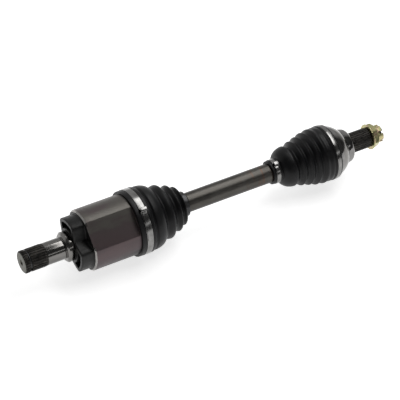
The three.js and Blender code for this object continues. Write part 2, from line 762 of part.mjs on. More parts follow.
place(aboutOutboardCentre, 'outboard_small_clamp', clamp(smallBandStart, smallBandWidth,
  smallCuffRadius + gap, smallEarAngle), 'bandSteel');
place(aboutOutboardCentre, 'outboard_boot', outboardBoot(), 'bootRubber');
place(aboutOutboardCentre, 'outboard_large_clamp', clamp(outboardBandStart, outboardBandWidth,
  outboardCuffRadius - bandSink, hiddenEarAngle), 'bandSteel');
place(aboutOutboardCentre, 'inner_race', innerRace(), 'bearingSteel');
place(aboutOutboardCentre, 'inner_race_circlip', springRing(innerRaceHalfWidth + gap + 0.2, clipWidth,
  outboardSplineRadius - clipGrooveDepth + gap, outboardSplineRadius + 1.5, 60, clipSlot), 'springSteel');
place(aboutOutboardCentre, 'ball_cage', ballCage(), 'bearingSteel');
ballAngles.forEach((angle, i) => place(aboutOutboardCentre, `ball_${i + 1}`, ball(angle), 'bearingSteel'));
place(aboutOutboardCentre, 'outer_race', outerRace(), 'polishedSteel');

export default axle;
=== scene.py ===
"""A front-wheel drive axle: tripod joint, bar and six-ball joint under two pleated boots.

The pieces are made in the order the axle goes together, from the gearbox end to the wheel end.
Lengths are metres; MM turns millimetres into metres.
"""
import json

import bpy
import numpy as np
from mathutils import Matrix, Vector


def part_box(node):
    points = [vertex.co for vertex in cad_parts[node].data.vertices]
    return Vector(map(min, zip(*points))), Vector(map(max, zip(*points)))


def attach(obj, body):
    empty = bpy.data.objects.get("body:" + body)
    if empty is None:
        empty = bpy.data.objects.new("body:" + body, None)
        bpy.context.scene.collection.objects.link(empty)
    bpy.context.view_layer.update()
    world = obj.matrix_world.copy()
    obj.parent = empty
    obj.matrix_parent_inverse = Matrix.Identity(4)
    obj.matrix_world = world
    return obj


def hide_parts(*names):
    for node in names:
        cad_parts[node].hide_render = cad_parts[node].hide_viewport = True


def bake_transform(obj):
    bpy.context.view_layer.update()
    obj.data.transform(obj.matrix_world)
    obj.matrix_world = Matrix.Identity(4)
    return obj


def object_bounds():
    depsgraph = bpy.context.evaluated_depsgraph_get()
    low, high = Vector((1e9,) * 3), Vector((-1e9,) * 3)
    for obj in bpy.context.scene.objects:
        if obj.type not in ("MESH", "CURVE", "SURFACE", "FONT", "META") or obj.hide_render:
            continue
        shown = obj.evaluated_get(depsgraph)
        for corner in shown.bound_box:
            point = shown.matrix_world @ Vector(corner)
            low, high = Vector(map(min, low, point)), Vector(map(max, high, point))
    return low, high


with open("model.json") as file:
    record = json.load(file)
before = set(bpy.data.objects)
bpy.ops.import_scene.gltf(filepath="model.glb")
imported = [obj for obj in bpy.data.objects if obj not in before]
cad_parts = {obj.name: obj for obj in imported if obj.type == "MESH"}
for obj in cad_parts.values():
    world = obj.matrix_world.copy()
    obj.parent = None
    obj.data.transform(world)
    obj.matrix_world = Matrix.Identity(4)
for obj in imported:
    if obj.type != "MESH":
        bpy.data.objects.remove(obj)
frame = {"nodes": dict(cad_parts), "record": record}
cad_box = [list(corner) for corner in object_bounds()]


# --- Inboard stub --------------------------------------------------------------------------------
# The forged steel stub that goes into the gearbox: a rolled spline with a ring groove, a ground journal for
# the shaft seal and a chamfered collar. The spline stays black from heat treatment, the rest is polished.

MM = 0.001
stub_low, stub_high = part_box("inboard_stub")
tip = stub_low.x
STUB_TEETH = 27
SPLINE_TIP = 16.4 * MM
SPLINE_ROOT = 15.2 * MM
SPLINE_END = tip + 34 * MM
JOURNAL_RADIUS = 16 * MM
COLLAR_START = tip + 62.5 * MM
COLLAR_RADIUS = stub_high.y


def rounded(points, steps=5):
    """A profile of (x, r, corner) points with its corners rounded.

    Each corner P becomes the curve (1-t)^2 A + 2t(1-t) P + t^2 B, where A and B lie on the two sides that
    meet there, at most `corner` and half the side's length away.
    """
    data = np.array([(*point, 0.0)[:3] for point in points], dtype=float)
    place, corner = data[:, :2], data[:, 2:3]
    t = np.linspace(0, 1, steps)[None, :, None]
    back = np.vstack([place[:1], place[:-1]]) - place
    ahead = np.vstack([place[1:], place[-1:]]) - place

    def toward(side):
        length = np.maximum(np.linalg.norm(side, axis=1, keepdims=True), 1e-12)
        return place + side / length * np.minimum(corner, 0.5 * length)

    start, end = toward(back)[:, None], toward(ahead)[:, None]
    curve = (1 - t) ** 2 * start + 2 * t * (1 - t) * place[:, None] + t ** 2 * end
    curve = curve.reshape(-1, 2)
    moved = np.linalg.norm(np.diff(curve, axis=0), axis=1) > 1e-7
    return curve[np.concatenate([[True], moved])]


def surface(name, grid, ring=False, poles=(True, True)):
    """A mesh over a grid of points: rows run along the piece, columns close round it.

    Point (i, j) joins (i+1, j) and (i, j+1). A ring's last row joins its first; otherwise each end is
    closed by a fan to the middle of its row.
    """
    rows, columns = grid.shape[:2]
    number = np.arange(rows * columns).reshape(rows, columns)
    lower = number if ring else number[:-1]
    upper = np.roll(number, -1, axis=0) if ring else number[1:]
    quads = np.stack([lower, np.roll(lower, -1, axis=1), np.roll(upper, -1, axis=1), upper], axis=-1)
    points = [grid.reshape(-1, 3)]
    faces = quads.reshape(-1, 4).tolist()
    for end, closed in zip((0, -1), poles):
        if ring or not closed:
            continue
        middle = sum(len(part) for part in points)
        points.append(grid[end].mean(axis=0, keepdims=True))
        edge = number[end] if end else number[end][::-1]
        pole = np.stack([edge, np.roll(edge, -1), np.full(columns, middle)], axis=-1)
        faces += pole.tolist()
    points = np.concatenate(points)
    corners = np.concatenate([quads.reshape(-1, 4)[:, [0, 1, 2]], quads.reshape(-1, 4)[:, [0, 2, 3]]])
    a, b, c = (points[corners[:, k]] for k in range(3))
    if np.einsum("ij,ij->i", a, np.cross(b, c)).sum() < 0:
        faces = [face[::-1] for face in faces]
    mesh = bpy.data.meshes.new(name)
    mesh.from_pydata(points.tolist(), [], faces)
    mesh.shade_smooth()
    mesh.set_sharp_from_angle(angle=np.radians(38))
    piece = bpy.data.objects.new(name, mesh)
    bpy.context.scene.collection.objects.link(piece)
    return piece


def around(columns):
    """Equally spaced angles round the axle, from +Y towards +Z."""
    return np.linspace(0, 2 * np.pi, columns, endpoint=False)


def turned(profile, angles):
    """A profile of (x, r) carried round the axle: (x, r cos a, r sin a). Either may also vary with a."""
    x, r = (np.asarray(part) for part in profile)
    x = x[:, None] if x.ndim == 1 else x
    r = r[:, None] if r.ndim == 1 else r
    x, r, a = np.broadcast_arrays(x, r, angles[None, :])
    return np.stack([x, r * np.cos(a), r * np.sin(a)], axis=-1)


def teeth(angles, count, sharpness=1.6):
    """Spline teeth round the axle, 0 at the root and 1 at the tip: 1/2 + k cos(n a), held to 0..1."""
    return np.clip(0.5 + sharpness * 0.5 * np.cos(count * angles), 0, 1)


def ramp(value, start, end):
    """Rises smoothly from 0 at start to 1 at end: t^2 (3 - 2t)."""
    t = np.clip((value - start) / (end - start), 0, 1)
    return t * t * (3 - 2 * t)


def add(tree, kind, inputs=None, **settings):
    """One node of a shader tree, with its settings, and its inputs given a value or joined to an output."""
    node = tree.nodes.new(kind)
    for key, value in settings.items():
        setattr(node, key, value)
    for key, value in (inputs or {}).items():
        if isinstance(value, bpy.types.NodeSocket):
            tree.links.new(value, node.inputs[key])
        else:
            node.inputs[key].default_value = value
    return node


def finish(name, build, **settings):
    """A material: `build` adds nodes to the tree and gives the linked inputs of the surface shader."""
    material = bpy.data.materials.new(name)
    material.use_nodes = True
    tree = material.node_tree
    tree.nodes.clear()
    place = add(tree, "ShaderNodeTexCoord").outputs["Object"]
    shader = add(tree, "ShaderNodeBsdfPrincipled", {**settings, **build(tree, place)})
    add(tree, "ShaderNodeOutputMaterial", {"Surface": shader.outputs[0]})
    return material


def noise(tree, place, scale, stretch=(1, 1, 1), detail=3.0, roughness=0.55):
    """Cloudy variation over the object's own coordinates, stretched along an axis by a smaller number."""
    mapping = add(tree, "ShaderNodeMapping", {"Vector": place, "Scale": stretch})
    return add(tree, "ShaderNodeTexNoise", {"Vector": mapping.outputs[0], "Scale": scale, "Detail": detail,
                                            "Roughness": roughness}).outputs["Fac"]


def span(tree, value, low, high, to_low, to_high):
    """A number moved from one range to another and held inside it."""
    return add(tree, "ShaderNodeMapRange", {"Value": value, "From Min": low, "From Max": high,
                                            "To Min": to_low, "To Max": to_high}).outputs[0]


def blend_of(tree, value, *stops):
    """A colour along a ramp of (place, colour) stops."""
    node = add(tree, "ShaderNodeValToRGB", {"Fac": value})
    elements = node.color_ramp.elements
    for i, (position, colour) in enumerate(stops):
        element = elements[i] if i < 2 else elements.new(position)
        element.position = position
        element.color = (*colour, 1)
    return node.outputs[0]


def turning_marks(tree, place, pitch, depth):
    """Fine rings left by turning: noise that changes quickly along the axle and hardly round it."""
    rings = noise(tree, place, 1 / pitch, stretch=(1, 0.012, 0.012), detail=2.0)
    return add(tree, "ShaderNodeBump", {"Height": rings, "Strength": 1.0, "Distance": depth}).outputs[0]


def ground_steel(tree, place):
    shade = noise(tree, place, 60, stretch=(0.4, 1, 1))
    marks = noise(tree, place, 900, stretch=(1, 0.02, 0.02), detail=1.5)
    return {"Base Color": blend_of(tree, shade, (0.3, (0.145, 0.140, 0.134)), (0.7, (0.20, 0.193, 0.185))),
            "Roughness": span(tree, marks, 0.3, 0.7, 0.10, 0.18),
            "Normal": turning_marks(tree, place, 0.0006, 0.000006)}


def black_spline(tree, place):
    shade = noise(tree, place, 160)
    black = blend_of(tree, shade, (0.3, (0.016, 0.0153, 0.014)), (0.75, (0.056, 0.052, 0.047)))
    return {"Base Color": black,
            "Roughness": span(tree, shade, 0.3, 0.7, 0.32, 0.5),
            "Normal": add(tree, "ShaderNodeBump", {"Height": shade, "Strength": 0.4,
                                                   "Distance": 0.0001}).outputs[0]}


def end_face_steel(tree, place):
    shade = noise(tree, place, 220)
    return {"Base Color": blend_of(tree, shade, (0.3, (0.07, 0.069, 0.058)), (0.7, (0.14, 0.138, 0.118))),
            "Roughness": span(tree, shade, 0.3, 0.7, 0.35, 0.55),
            "Normal": turning_marks(tree, place, 0.001, 0.00002)}


ground = finish("ground_steel", ground_steel, Metallic=1.0)
spline_black = finish("black_spline_steel", black_spline, Metallic=0.85)
end_steel = finish("end_face_steel", end_face_steel, Metallic=0.9)


def paint(piece, *finishes):
    """Gives a piece its finishes: each (material, test) holds where the faces' (x, r) pass the test."""
    mesh = piece.data
    count = len(mesh.polygons)
    centre = np.empty(count * 3)
    mesh.polygons.foreach_get("center", centre)
    centre = centre.reshape(-1, 3)
    x, r = centre[:, 0], np.hypot(centre[:, 1], centre[:, 2])
    index = np.zeros(count, dtype=np.int32)
    for slot, (material, test) in enumerate(finishes):
        mesh.materials.append(material)
        if test is not None:
            index[test(x, r)] = slot
    mesh.polygons.foreach_set("material_index", index)


groove = tip + 8.5 * MM
stub_profile = rounded([
    (tip + 5 * MM, 0), (tip + 1.2 * MM, 3.6 * MM, 0.2 * MM), (tip, 4.4 * MM, 0.3 * MM),
    (tip, SPLINE_ROOT - 0.7 * MM, 0.3 * MM), (tip + 1.4 * MM, SPLINE_ROOT + 0.6 * MM, 0.3 * MM),
    (groove - 1.4 * MM, SPLINE_ROOT + 0.6 * MM, 0.1 * MM), (groove - 1.4 * MM, 13.4 * MM, 0.1 * MM),
    (groove + 1.4 * MM, 13.4 * MM, 0.1 * MM), (groove + 1.4 * MM, SPLINE_ROOT + 0.6 * MM, 0.1 * MM),
    (groove + 3 * MM, SPLINE_ROOT + 0.6 * MM), (SPLINE_END - 4 * MM, SPLINE_ROOT + 0.6 * MM),
    (SPLINE_END - 2 * MM, SPLINE_ROOT + 0.6 * MM), (SPLINE_END, SPLINE_ROOT + 0.6 * MM),
    (SPLINE_END + 0.6 * MM, JOURNAL_RADIUS, 0.3 * MM), (COLLAR_START - 2.2 * MM, JOURNAL_RADIUS, 0.5 * MM),
    (COLLAR_START - 1.2 * MM, JOURNAL_RADIUS - 0.5 * MM, 0.4 * MM),
    (COLLAR_START, JOURNAL_RADIUS - 0.4 * MM, 0.4 * MM), (COLLAR_START, COLLAR_RADIUS - 3 * MM, 0.4 * MM),
    (COLLAR_START + 2.6 * MM, COLLAR_RADIUS, 0.5 * MM), (stub_high.x, COLLAR_RADIUS, 0.2 * MM),
    (stub_high.x, 0)])
stub_angles = around(STUB_TEETH * 16)
stub_x, stub_r = stub_profile[:, 0, None], stub_profile[:, 1, None]
toothed = ramp(stub_x, tip + 0.2 * MM, tip + 1.6 * MM) * (1 - ramp(stub_x, SPLINE_END - 3 * MM, SPLINE_END))
toothed = toothed * (stub_r > SPLINE_ROOT) * (np.abs(stub_x - groove) > 1.3 * MM)
tooth_rise = (teeth(stub_angles, STUB_TEETH)[None, :] - 0.5) * (SPLINE_TIP - SPLINE_ROOT)
stub = surface("inboard_stub_forging", turned((stub_x, stub_r + toothed * tooth_rise), stub_angles))
paint(stub, (ground, None), (spline_black, lambda x, r: x < SPLINE_END + 0.3 * MM),
      (end_steel, lambda x, r: (x < tip + 0.3 * MM) | ((x < tip + 6 * MM) & (r < 5 * MM))))
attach(stub, "inboard_housing")
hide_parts("inboard_stub")


# --- Spring ring on the stub ---------------------------------------------------------------------
# Round-edged spring wire snapped into the stub's groove; it springs out inside the gearbox and holds the
# axle in. It is open at one side.

RING_GROOVE_RADIUS = 13.8 * MM
RING_WIRE = (2.0 * MM, 2.0 * MM)


def outline_of(width, height, corner):
    """A closed rectangle of (along, out) points about its middle, with round corners."""
    w, h = width / 2, height / 2
    corners = [(-w, h, corner), (w, h, corner), (w, -h, corner), (-w, -h, corner)]
    return rounded([(-w, 0), *corners, (-w, 0)])[:-1]


def ribbon(name, x, path, section, closed):
    """A section carried along a path in the YZ plane.

    Point (i, j) is (x + s_j, path_i + n_i h_j), where n is the path's outward normal, from the difference
    of the neighbouring points.
    """
    if closed:
        step = np.roll(path, -1, axis=0) - np.roll(path, 1, axis=0)
    else:
        step = np.gradient(path, axis=0)
    step = step / np.linalg.norm(step, axis=1, keepdims=True)
    normal = np.stack([step[:, 1], -step[:, 0]], axis=1)
    yz = path[:, None, :] + normal[:, None, :] * section[None, :, 1:2]
    along = np.broadcast_to(x + section[None, :, 0], yz.shape[:2])
    return surface(name, np.concatenate([along[..., None], yz], axis=-1), ring=closed)


def spring_steel(tree, place):
    shade = noise(tree, place, 400)
    return {"Base Color": blend_of(tree, shade, (0.3, (0.03, 0.03, 0.031)), (0.7, (0.08, 0.08, 0.082))),
            "Roughness": span(tree, shade, 0.3, 0.7, 0.28, 0.42)}


spring = finish("spring_steel", spring_steel, Metallic=0.95)
opening = np.radians(196)
turn = np.linspace(opening + 0.18, opening + 2 * np.pi - 0.18, 120)
wire_radius = RING_GROOVE_RADIUS + RING_WIRE[1] / 2
wire_path = wire_radius * np.stack([np.cos(turn), np.sin(turn)], axis=1)
wire = ribbon("stub_spring_ring", groove, wire_path, outline_of(*RING_WIRE, 0.5 * MM), closed=False)
paint(wire, (spring, None))
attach(wire, "inboard_housing")
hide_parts("stub_circlip")


# --- Tripod housing ------------------------------------------------------------------------------
# One forging: three black lobes, each hollowed by a pocket, before a barrel that is turned outside to dark
# steel, milled to three flats and bevelled at its rim. Inside run three straight tracks for the rollers.

housing_low, housing_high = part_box("tripod_housing")
LOBE_START = housing_low.x
RIM = tip + 92 * MM
LIP = tip + 163 * MM
MOUTH = housing_high.x
TRACK_END = tip + 100.1 * MM
BARREL = 44.5 * MM
SEAT = 43.9 * MM
CHAMFER = 2 * MM
LOBE_REACH = 39.5 * MM
LOBE_HALF = 21 * MM
FIRST_SPOKE = np.radians(76)
TRACK_REACH = 35 * MM
TRACK_HALF = 15.75 * MM
FLAT = 39.2 * MM


def from_spoke(angles, first, count):
    """The angle from the nearest of `count` equally spaced spokes."""
    step = 2 * np.pi / count
    return (angles - first + step / 2) % step - step / 2


def soft_least(a, b, sharpness):
    """The smaller of two lengths, with a round corner where they cross: (a^-p + b^-p)^(-1/p)."""
    return (a ** -sharpness + b ** -sharpness) ** (-1 / sharpness)


def soft_most(a, b, sharpness):
    """The larger of two lengths, with a round corner where they cross: (a^p + b^p)^(1/p)."""
    return (a ** sharpness + b ** sharpness) ** (1 / sharpness)


HOUSING_COLUMNS = 432
housing_angles = FIRST_SPOKE + around(HOUSING_COLUMNS)
spoke = from_spoke(housing_angles, FIRST_SPOKE, 3)
side = np.maximum(np.abs(np.sin(spoke)), 1e-3)
lobe = soft_least(LOBE_REACH, LOBE_HALF / side, 16)
flat = FLAT / np.cos(from_spoke(housing_angles, FIRST_SPOKE + np.pi / 3, 3))


def rows(x, r, count=1):
    """Rows of the housing's skin. x and r are numbers or vary round it, and may change from row to row."""
    shape = (count, HOUSING_COLUMNS)
    return np.broadcast_to(x, shape), np.broadcast_to(r, shape)


def between(low, high, count):
    """A column of evenly spaced steps from low to high, where either may vary round the axle."""
    t = np.linspace(0, 1, count)[:, None]
    return low + (high - low) * t


hub_face = between(22.2 * MM, lobe - 1.4 * MM, 56)
pocket = ramp(hub_face, 25 * MM, 26.6 * MM) * (1 - ramp(hub_face, lobe - 6.2 * MM, lobe - 5 * MM))
pocket = pocket * (1 - ramp(hub_face * side, 13.4 * MM, 14.8 * MM))
quarter = np.linspace(0, np.pi / 2, 5)[:, None]
fillet = 1.4 * MM
track_x = between(MOUTH - 1 * MM, TRACK_END, 14)
bore = 26 * MM + 6.3 * MM * np.clip((track_x - (tip + 143 * MM)) / (43 * MM), 0, 1)
track = soft_most(bore, soft_least(TRACK_REACH, TRACK_HALF / side, 24), 24)
barrel = rounded([(RIM, BARREL - CHAMFER - 1 * MM), (RIM, BARREL - CHAMFER, 0.3 * MM),
                  (RIM + CHAMFER, BARREL, 0.4 * MM), (RIM + 8 * MM, BARREL), (LIP - 8 * MM, BARREL),
                  (LIP - 0.1 * MM, BARREL), (LIP, SEAT), (LIP + 4 * MM, SEAT), (MOUTH - 4 * MM, SEAT),
                  (MOUTH, SEAT, 0.5 * MM), (MOUTH, SEAT - 1 * MM)])
barrel_x, barrel_r = barrel[:, :1], barrel[:, 1:]
rim_edge = np.minimum(BARREL - CHAMFER - 1.1 * MM, flat - 0.1 * MM)
skin = [
    rows(LOBE_START, 11 * MM), rows(LOBE_START, 21.8 * MM),
    rows(LOBE_START + 12 * MM * pocket, hub_face, 56),
    rows(LOBE_START + 1.4 * MM * (1 - np.cos(quarter)), lobe - 1.4 * MM * (1 - np.sin(quarter)), 5),
    rows(between(LOBE_START + 3 * MM, RIM - fillet - 1 * MM, 8), lobe, 8),
    rows(RIM - fillet * (1 - np.sin(quarter)), lobe + fillet * (1 - np.cos(quarter)), 5),
    rows(RIM, between(lobe + fillet + 0.1 * MM, rim_edge, 5), 5),
    rows(barrel_x, np.where(barrel_x < LIP - 0.01 * MM, np.minimum(barrel_r, flat), barrel_r), len(barrel)),
    rows(MOUTH, track[:1] + 1 * MM), rows(track_x, track, 14), rows(TRACK_END, track[-1:] * 0.5)]
skin_x = np.concatenate([part[0] for part in skin])
skin_r = np.concatenate([part[1] for part in skin])
housing = surface("tripod_housing_forging", turned((skin_x, skin_r), housing_angles))


def black_forging(tree, place):
    scale = noise(tree, place, 260, detail=4)
    broad = noise(tree, place, 45)
    bump = add(tree, "ShaderNodeBump", {"Height": scale, "Strength": 0.5, "Distance": 0.00025})
    black = blend_of(tree, broad, (0.35, (0.006, 0.006, 0.0057)), (0.75, (0.019, 0.0185, 0.018)))
    return {"Base Color": black, "Roughness": span(tree, scale, 0.3, 0.7, 0.34, 0.52),
            "Normal": bump.outputs[0]}


# The barrel's colour is painted light and shade by height: olive-grey towards the top, purple-brown round
# the middle and nearly black underneath, with a cloudy sway in the borders.
def turned_dark_painted_shade(tree, place):
    height = add(tree, "ShaderNodeSeparateXYZ", {"Vector": place}).outputs["Z"]
    cloud = noise(tree, place, 38, stretch=(0.35, 1, 1), detail=4)
    sway = span(tree, cloud, 0.3, 0.7, -0.02, 0.02)
    height_for_painted_shade = add(tree, "ShaderNodeMath", {0: sway, 1: height}).outputs[0]
    # Painted light and shade: this ramp over height makes the top lighter and the underside darker.
    tint = blend_of(tree, span(tree, height_for_painted_shade, -0.045, 0.045, 0, 1), (0.03, (0.020, 0.016, 0.017)),
                    (0.30, (0.080, 0.066, 0.069)), (0.55, (0.100, 0.074, 0.077)),
                    (0.85, (0.095, 0.077, 0.077)), (0.97, (0.108, 0.101, 0.091)))
    rings = noise(tree, place, 1500, stretch=(1, 0.01, 0.01), detail=2)
    return {"Base Color": tint, "Roughness": span(tree, rings, 0.3, 0.7, 0.36, 0.46),
            "Normal": turning_marks(tree, place, 0.0008, 0.000012)}


def cut_steel(tree, place):
    shade = noise(tree, place, 300)
    return {"Base Color": blend_of(tree, shade, (0.3, (0.20, 0.19, 0.18)), (0.7, (0.34, 0.33, 0.32))),
            "Roughness": span(tree, shade, 0.3, 0.7, 0.16, 0.26)}


forging = finish("black_forging", black_forging, Metallic=0.55)
dark_turned = finish("dark_turned_steel_painted_shade", turned_dark_painted_shade, Metallic=0.7)
bright_cut = finish("bright_cut_steel", cut_steel, Metallic=1.0)
paint(housing, (dark_turned, None), (forging, lambda x, r: (x < RIM + 0.01 * MM)),
      (bright_cut, lambda x, r: (x > RIM + 0.01 * MM) & (x < RIM + CHAMFER * 0.98) & (r > 42 * MM)),
      (ground, lambda x, r: (x > TRACK_END - 1 * MM) & (r < 38 * MM) & (x < MOUTH + 1 * MM)))
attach(housing, "inboard_housing")
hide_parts("tripod_housing")


# --- Boot clamps ---------------------------------------------------------------------------------
# Each clamp is a strip of stainless band wrapped once round the cuff. Its tail lies over its start, and an
# ear is crimped between them to pull it tight.

BAND = 0.9 * MM


def crimped_path(radius, ear_angle, reach=5.0, count=260):
    """The band's middle line: a circle that leaves into the crimped ear and comes back.

    The ear is a round-cornered outline of (along, out) lengths, wrapped onto the circle by
    angle = ear + along / radius and distance = radius + out.
    """
    up = [(-5.4, 0, 1), (-2.1, 0, 1.2), (-1.5, 0.42, 1.4), (-2.9, 0.86, 1.6), (-1.6, 1.0, 1.2)]
    flip = [(-along, out, corner) for along, out, corner in reversed(up)]
    ear = rounded([(along * MM, out * reach * MM, corner * MM)
                   for along, out, corner in up + flip], steps=7)
    rest = np.linspace(5.6 * MM, 2 * np.pi * radius - 5.6 * MM, count)
    along = np.concatenate([ear[:, 0], rest])
    out = np.concatenate([ear[:, 1], np.zeros(count)])
    angle = ear_angle + along / radius
    return (radius + out)[:, None] * np.stack([np.cos(angle), np.sin(angle)], axis=1)


def band_steel(tree, place):
    grain = noise(tree, place, 1200, stretch=(1, 0.02, 0.02), detail=2)
    cloud = noise(tree, place, 120)
    return {"Base Color": blend_of(tree, cloud, (0.3, (0.17, 0.167, 0.163)), (0.7, (0.25, 0.247, 0.241))),
            "Roughness": span(tree, grain, 0.3, 0.7, 0.14, 0.26),
            "Normal": add(tree, "ShaderNodeBump", {"Height": grain, "Strength": 0.6,
                                                   "Distance": 0.00001}).outputs[0]}


stainless = finish("stainless_band", band_steel, Metallic=1.0)


def clamp(node, width, inner, ear_degrees, body, steel=stainless):
    """One clamp round a cuff: the crimped band and the tail that overlaps it beyond the ear."""
    low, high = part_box(node)
    middle = (low.x + high.x) / 2
    ear = np.radians(ear_degrees)
    section = outline_of(width, BAND, 0.25 * MM)
    radius = inner + BAND / 2 + 0.05 * MM
    band = ribbon(node + "_band", middle, crimped_path(radius, ear), section, closed=True)
    paint(band, (steel, None))
    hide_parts(node)
    sweep = ear + np.linspace(0.14, 0.95, 60)
    over = radius + BAND + 0.05 * MM
    tail_path = over * np.stack([np.cos(sweep), np.sin(sweep)], axis=1)
    strip = outline_of(width * 0.8, BAND * 0.8, 0.2 * MM)
    tail = ribbon(node + "_tail", middle, tail_path, strip, closed=False)
    paint(tail, (steel, None))
    for piece in (band, tail):
        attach(piece, body)


INBOARD_CUFF = 48.4 * MM
SMALL_BAND = 6.5 * MM
SMALL_BAND_INSIDE = 17.3 * MM
OUT_BAND = 40.7 * MM
clamp("inboard_large_clamp", 9.5 * MM, INBOARD_CUFF - 0.7 * MM, 123, "inboard_housing")
clamp("inboard_small_clamp", SMALL_BAND, SMALL_BAND_INSIDE, 300, "shaft", steel=spring)
clamp("outboard_small_clamp", SMALL_BAND, SMALL_BAND_INSIDE, 110, "shaft")
clamp("outboard_large_clamp", 5.8 * MM, OUT_BAND, 300, "bell")


# --- Inboard boot --------------------------------------------------------------------------------
# Black moulded rubber: a cuff on the housing, four pleats that get smaller, and a cuff on the bar. It is
# one moulding on the real axle, made here in three lengths.

WALL = 2.2 * MM
SMALL_SEAT = 14 * MM
HOUSING_SEAT = 44.2 * MM
FLUTE = 3.4 * MM
CREST = 2.6 * MM


def pleated(crests, depth):
    """Crests of (x, r), with a valley halfway between each two."""
    points = []
    for (x, r), (next_x, next_r) in zip(crests, crests[1:]):
        points += [(x, r + 0.6 * MM, CREST), ((x + next_x) / 2, min(r, next_r) - depth - 0.5 * MM, FLUTE)]
    return points + [(crests[-1][0], crests[-1][1] + 0.6 * MM, CREST)]


def boot_length(name, outline, seat_of, start, end, angles):
    """The length of a boot between two stations: its outline, and the inside of its wall back again."""
    x, r = outline[:, 0], outline[:, 1]
    inside = (x > start + 1e-6) & (x < end - 1e-6)
    x = np.concatenate([[start], x[inside], [end]])
    r = np.concatenate([[np.interp(start, *outline.T)], r[inside], [np.interp(end, *outline.T)]])
    inner = seat_of(x, r)
    back = slice(None, None, -1)
    profile = np.concatenate([x, x[back]]), np.concatenate([r, inner[back]])
    return surface(name, turned(profile, angles), ring=True)


def moulded_rubber(tree, place):
    fine = noise(tree, place, 900, detail=3)
    cloud = noise(tree, place, 30, detail=3)
    bump = add(tree, "ShaderNodeBump", {"Height": fine, "Strength": 0.35, "Distance": 0.00008})
    black = blend_of(tree, cloud, (0.3, (0.0030, 0.0030, 0.0034)), (0.75, (0.0065, 0.0065, 0.0072)))
    return {"Base Color": black, "Roughness": span(tree, cloud, 0.3, 0.7, 0.34, 0.48),
            "Normal": bump.outputs[0]}


rubber = finish("moulded_rubber", moulded_rubber, Metallic=0.0, **{"Specular IOR Level": 0.22})
boot_low, boot_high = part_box("inboard_boot")
CUFF_END = MOUTH + 1 * MM
small_cuff = 17 * MM
crests = [(CUFF_END + along * MM, INBOARD_CUFF + rise * MM)
          for along, rise in ((33, -8.9), (47.5, -13.9), (58, -19.4))]
boot_outline = rounded([
    (boot_low.x, HOUSING_SEAT), (boot_low.x, INBOARD_CUFF - 0.2 * MM, 0.8 * MM),
    (tip + 169.6 * MM, INBOARD_CUFF, 0.4 * MM), (tip + 170 * MM, INBOARD_CUFF - 0.75 * MM, 0.2 * MM),
    (tip + 180 * MM, INBOARD_CUFF - 0.75 * MM, 0.2 * MM),
    (tip + 180.4 * MM, INBOARD_CUFF + 0.1 * MM, 0.5 * MM),
    (tip + 185 * MM, INBOARD_CUFF - 0.3 * MM, 1 * MM), (tip + 186.6 * MM, 45.4 * MM, 1 * MM),
    (tip + 188.4 * MM, 45.2 * MM, 1 * MM), (tip + 190 * MM, 47.2 * MM, 1.5 * MM),
    (tip + 198 * MM, 46.4 * MM, 4 * MM), (tip + 204.5 * MM, 43.2 * MM, 3 * MM),
    (tip + 208.5 * MM, 36.6 * MM, 3 * MM), (tip + 214 * MM, 39.4 * MM, 3 * MM),
    *pleated(crests, 4.2 * MM),
    (boot_high.x - 8.6 * MM, small_cuff + 4 * MM, 3 * MM),
    (boot_high.x - 8.2 * MM, small_cuff, 0.8 * MM),
    (boot_high.x - 0.3 * MM, small_cuff, 0.6 * MM), (boot_high.x, SMALL_SEAT)])


def inboard_wall(x, r):
    """The boot's inside: the housing's seat as far as its mouth, the bar's seat under the small cuff."""
    wall = np.maximum(r - WALL, SMALL_SEAT)
    return np.where(x < MOUTH + 0.4 * MM, np.minimum(r, HOUSING_SEAT), wall)


valley, crest = tip + 208.5 * MM, CUFF_END + 47.5 * MM
lengths = (("inboard_boot_cuff", boot_low.x, valley, ("inboard_housing", "inboard_boot"),
            (CUFF_END, valley)),
           ("inboard_boot_pleats", valley, crest, ("inboard_boot", "lead_needles"), (valley, crest)),
           ("inboard_boot_neck", crest, boot_high.x, ("lead_needles", "shaft"),
            (crest, boot_high.x - 9 * MM)))
for name, start, end, bodies, (from_x, to_x) in lengths:
    length = boot_length(name, boot_outline, inboard_wall, start, end, around(160))
    paint(length, (rubber, None))
    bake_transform(length)
    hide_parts("inboard_boot")
